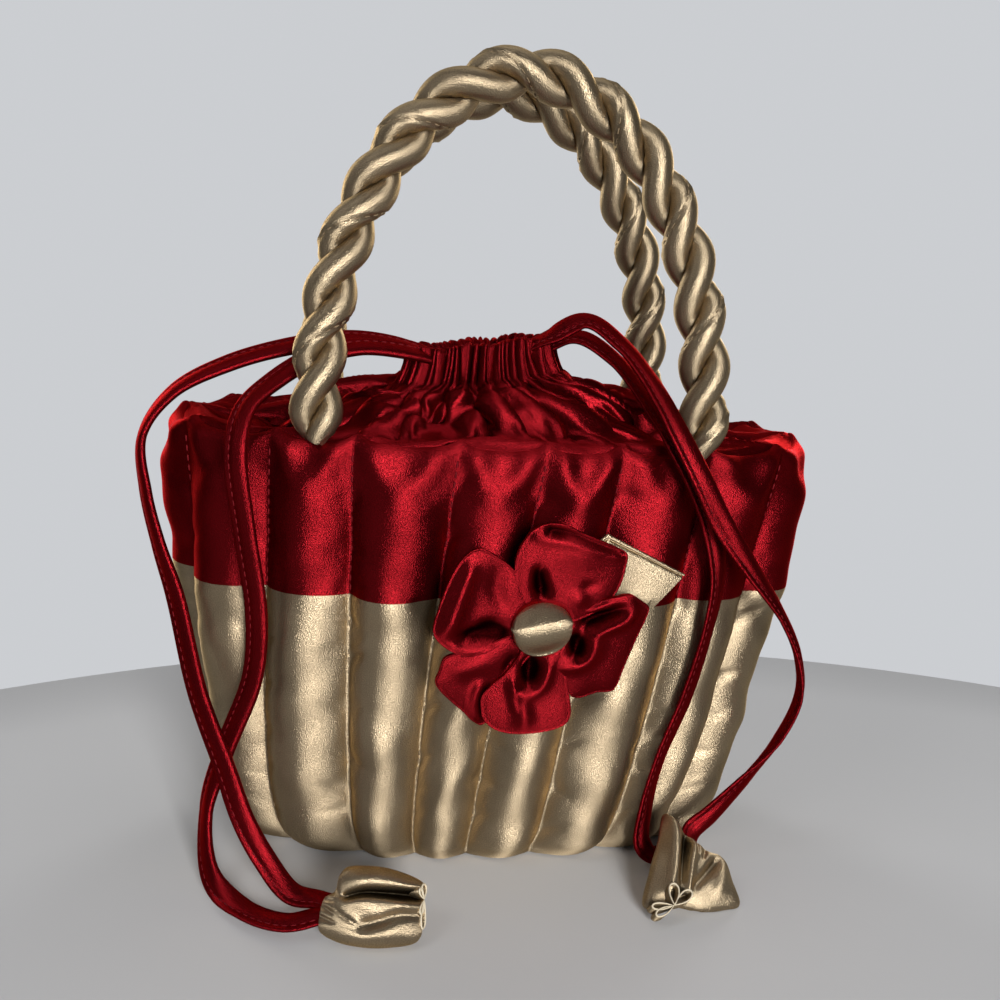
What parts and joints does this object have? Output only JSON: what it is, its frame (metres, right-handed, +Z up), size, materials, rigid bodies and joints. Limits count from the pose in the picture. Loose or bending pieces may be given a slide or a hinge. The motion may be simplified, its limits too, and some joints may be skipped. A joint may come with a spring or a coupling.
{
  "type": "basket purse",
  "caption": "Small oval basket purse of channel-quilted two-colour satin, with a gathered drawstring collar, twisted rope handles, tasselled cords and a sewn fabric flower.",
  "frame": {"origin": "centre of the flat base, on the surface the purse stands on", "axes": "+Z up through the open neck, +X along the rim's long side, -Y the front with the flower"},
  "size_m": [0.2418, 0.1408, 0.278],
  "materials": {
    "red_satin": "satin",
    "gold_satin": "satin",
    "red_cord": "satin"
  },
  "bodies": {
    "basket": {"gold_wall_band": "gold_satin", "red_wall_band": "red_satin", "base_panel": "gold_satin", "lining": "red_satin", "drawstring_collar": "red_satin", "petal_top": "red_satin", "petal_upper_left": "red_satin", "petal_lower_left": "red_satin", "petal_bottom": "red_satin", "petal_right": "red_satin", "flower_button": "gold_satin", "leaf_tab": "gold_satin", "left_drawstring_outer": "red_cord", "left_drawstring_inner": "red_cord", "right_drawstring_a": "red_cord", "right_drawstring_b": "red_cord", "left_tassel": "gold_satin", "right_tassel": "gold_satin"},
    "front_handle": {"front_handle_strand_a": "gold_satin", "front_handle_strand_b": "gold_satin"},
    "back_handle": {"back_handle_strand_a": "gold_satin", "back_handle_strand_b": "gold_satin"}
  },
  "joints": [
    {"name": "front_handle_swing", "type": "hinge", "parent": "basket", "child": "front_handle", "pos_m": [0, -0.0397, 0.1601], "axis": [1, 0, 0], "range_deg": [-8, 70], "stiffness_Nm_per_rad": 0.15},
    {"name": "back_handle_swing", "type": "hinge", "parent": "basket", "child": "back_handle", "pos_m": [0, 0.0397, 0.1601], "axis": [-1, 0, 0], "range_deg": [-8, 70], "stiffness_Nm_per_rad": 0.15}
  ]
}
